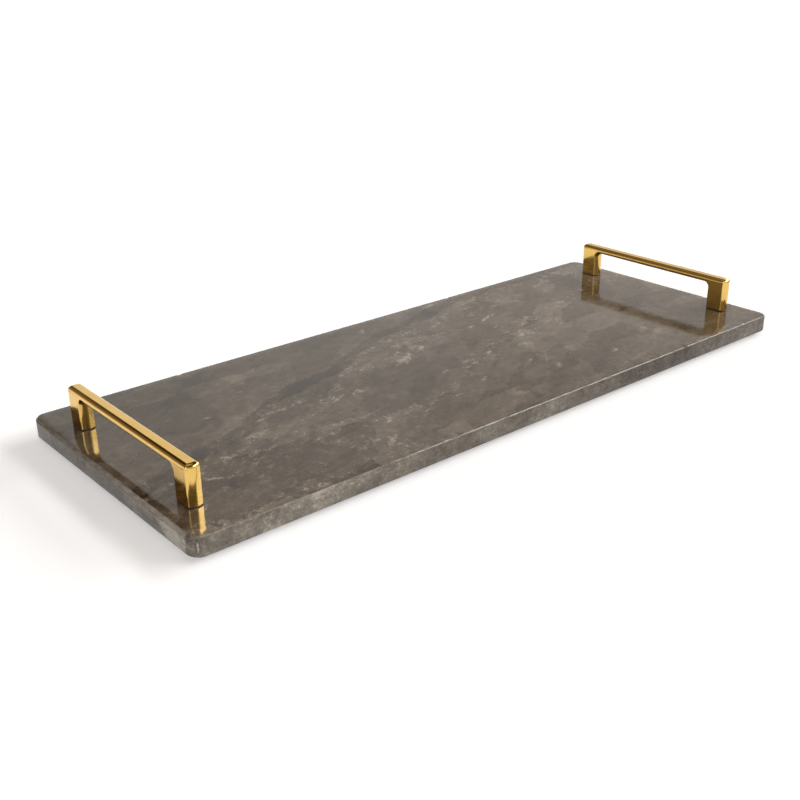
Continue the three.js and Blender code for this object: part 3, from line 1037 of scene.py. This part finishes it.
def make_screw(place, x, y, finish):
    bm = bmesh.new()
    _, high = (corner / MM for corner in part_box(f"screw_{place}"))
    length = high.z - HEAD_TOP
    rim = arc(HEAD_RADIUS - HEAD_ROUND, HEAD_ROUND - HEAD_HEIGHT, HEAD_ROUND, -QUARTER, 0, HEAD_STEPS)
    profile = [*((point.x, point.y) for point in rim), (HEAD_RADIUS, 0), (SCREW_RADIUS, 0)]
    z = THREAD_START
    while z + THREAD_PITCH < length - SCREW_TIP_CHAMFER:
        profile += [(SCREW_RADIUS, z), (SCREW_RADIUS - THREAD_DEPTH, z + THREAD_PITCH / 2)]
        z += THREAD_PITCH
    profile += [(SCREW_RADIUS, length - SCREW_TIP_CHAMFER), (SCREW_RADIUS - SCREW_TIP_CHAMFER, length)]
    rings = [ring_of(bm, circle(x, y, HEAD_TOP + height, radius)) for radius, height in profile]
    bridge_all(bm, rings)
    face = HEAD_TOP - HEAD_HEIGHT
    mouth = ring_of(bm, cross(x, y, face, RECESS_MOUTH))
    floor = ring_of(bm, cross(x, y, face + RECESS_DEPTH, RECESS_FLOOR))
    bridge(bm, mouth, floor)
    bm.faces.new(floor)
    fill(bm, [rings[0], mouth], -1)
    bm.faces.new(rings[-1])
    return finish_piece(bm, f"pan_screw_{place}", finish, f"screw_{place}", SCREW_CREASE)


make_slab(stone())
gold_finish = gold()
for end, sign_x in (("left", -1), ("right", 1)):
    make_handle(end, sign_x, gold_finish)
steel_finish = steel()
pad_and_shadow_finish = rubber("pad_rubber", PAD_AND_SHADOW_SHADE)
foot_finish = rubber("foot_rubber", FOOT_SHADE)
for end, side, sign_x, sign_y in LEGS:
    place = f"{end}_{side}"
    leg = (sign_x * HANDLE_X, sign_y * LEG_Y)
    make_pad(place, *leg, pad_and_shadow_finish)
    make_washer(place, *leg, steel_finish)
    make_screw(place, *leg, steel_finish)
    make_foot(place, foot_finish)


# The room: a pale floor, walls, a dim ceiling with a skylight, and two soft boxes to the front.
# Each patch of it has a bearing from +Y towards +X and a height, in degrees, and a brightness.
# Later patches cover earlier ones.
FLOOR_HALF = 12.0
FLOOR_SHADE = 0.75
FLOOR_LIFT = 0.39
WALL_SHADE = 0.22
CEILING_SHADE = 0.06
CEILING_HEIGHT = 38
CEILING_RIM = 6
PATCHES = [
    # Bearing from and to, height from and to, soft rim, brightness
    # The skylight, and the low pale wall all round
    (-200, 200, 64, 100, 12, 0.50),
    (-200, 200, -5, 14, 4, 0.50),
    # The wall in front, in two parts
    (150, 200, -5, 30, 8, 0.60),
    (-200, -128, -5, 30, 8, 0.60),
    # The wall to the left
    (-108, -80, -5, 44, 6, 0.9),
    # The wall behind to the left, darker with height, with a paler part at its left and above it
    (-80, 14, -5, 6, 8, 0.75),
    (-80, 14, 6, 14, 8, 0.42),
    (-80, 14, 14, 31, 6, 0.19),
    (-80, 16, 31, 44, 4, 0.03),
    (-80, -46, -5, 28, 8, 0.40),
    (-80, 20, 43, 64, 8, 0.25),
    # The lit wall behind to the right
    (17, 46, -5, 37, 6, 0.92),
    (43, 80, -5, 37, 8, 0.80),
    # The glow beside the right soft box, that box and the left one
    (136, 157, 21, 36, 8, 2.0),
    (76, 146, 24.5, 36, 6, 14.0),
    (-133, -108, 14, 36, 7, 5.0),
]
ROOM_TINTS = [
    # The room's light is warmer where it is dim
    (0.02, (1.0, 0.66, 0.42)),
    (0.20, (1.0, 0.87, 0.76)),
    (0.45, (1.0, 0.97, 0.93)),
    (0.70, (1.0, 1.0, 1.0)),
]
TINT_RANGE = 2
WHITE = (1.0, 1.0, 1.0, 1.0)
OVERHEAD_WAY = Vector((-0.12, 0.10, 1.0))
OVERHEAD_ANGLE = 70
OVERHEAD_STRENGTH = 0.1
OVERHEAD_DISTANCE = 2.0


def make_floor():
    """A pale matt floor, with a faint glow that the camera and mirrors see."""
    mesh = bpy.data.meshes.new("floor")
    corners = [(-1, -1), (1, -1), (1, 1), (-1, 1)]
    mesh.from_pydata([(x * FLOOR_HALF, y * FLOOR_HALF, 0) for x, y in corners], [], [(0, 1, 2, 3)])
    floor = add_object("floor", mesh)
    made, g = material("pale_floor")
    path = g.node("ShaderNodeLightPath").outputs
    seen = g.most(path["Is Camera Ray"], path["Is Glossy Ray"], path["Is Transmission Ray"])
    matt = g.node("ShaderNodeBsdfDiffuse", {"Color": (FLOOR_SHADE, FLOOR_SHADE, FLOOR_SHADE, 1.0)})
    lift = g.node("ShaderNodeEmission", {"Strength": g.times(seen, FLOOR_LIFT)})
    both = g.node("ShaderNodeAddShader", {0: matt.outputs[0], 1: lift.outputs[0]})
    output = g.node("ShaderNodeOutputMaterial")
    g.tree.links.new(both.outputs[0], output.inputs["Surface"])
    mesh.materials.append(made)


def make_world():
    """The room that lights the tray and is mirrored in it. The camera itself sees plain white."""
    world = bpy.data.worlds.new("studio")
    world.use_nodes = True
    bpy.context.scene.world = world
    g = Graph(world.node_tree)
    x, y, z = g.split(g.node("ShaderNodeTexCoord").outputs["Generated"])
    bearing = g.math("DEGREES", g.math("ARCTAN2", x, y))
    height = g.math("DEGREES", g.math("ARCSINE", z))

    def between(value, low, high, rim):
        rise = g.ramp(value, low - rim / 2, low + rim / 2)
        fall = g.ramp(value, high + rim / 2, high - rim / 2)
        return g.times(rise, fall)

    half_rim = CEILING_RIM / 2
    room = g.ramp(height, CEILING_HEIGHT - half_rim, CEILING_HEIGHT + half_rim, WALL_SHADE, CEILING_SHADE)
    for left, right, low, high, rim, brightness in PATCHES:
        patch = g.times(between(bearing, left, right, rim), between(height, low, high, rim))
        room = g.add(room, g.times(patch, g.minus(brightness, room)))
    camera = g.node("ShaderNodeLightPath").outputs["Is Camera Ray"]
    strength = g.add(camera, g.times(g.minus(1.0, camera), room))
    tint = g.mix(camera, g.colours(g.spread(room, 0, TINT_RANGE), ROOM_TINTS), WHITE)
    background = g.node("ShaderNodeBackground", {"Color": tint, "Strength": strength})
    output = g.node("ShaderNodeOutputWorld")
    g.tree.links.new(background.outputs[0], output.inputs["Surface"])


def make_overhead():
    """A wide even light from far above, which mirrors don't show."""
    data = bpy.data.lights.new("overhead", "SUN")
    data.angle = math.radians(OVERHEAD_ANGLE)
    data.energy = OVERHEAD_STRENGTH
    lamp = add_object("overhead", data)
    way = OVERHEAD_WAY.normalized()
    lamp.location = way * OVERHEAD_DISTANCE
    lamp.rotation_euler = way.to_track_quat("Z", "Y").to_euler()
    lamp.visible_camera = False
    lamp.visible_glossy = False


make_floor()
make_world()
make_overhead()

# The camera, at the photograph's angle
LENS = 48.207
SENSOR_WIDTH = 36.0
NEAREST = 0.01
CAMERA_PLACE = Vector((-0.46809, -0.51527, 0.29071))
CAMERA_RIGHT = Vector((0.763585, -0.645615, -0.010930))
CAMERA_UP = Vector((0.267302, 0.300645, 0.915512))


def make_camera():
    data = bpy.data.cameras.new("camera")
    data.lens = LENS
    data.sensor_width = SENSOR_WIDTH
    data.sensor_fit = "HORIZONTAL"
    data.clip_start = NEAREST
    camera = add_object("camera", data)
    axes = Matrix((CAMERA_RIGHT, CAMERA_UP, CAMERA_RIGHT.cross(CAMERA_UP))).transposed()
    camera.matrix_world = Matrix.Translation(CAMERA_PLACE) @ axes.to_4x4()
    bpy.context.scene.camera = camera


make_camera()
bpy.context.scene.view_settings.view_transform = "Standard"
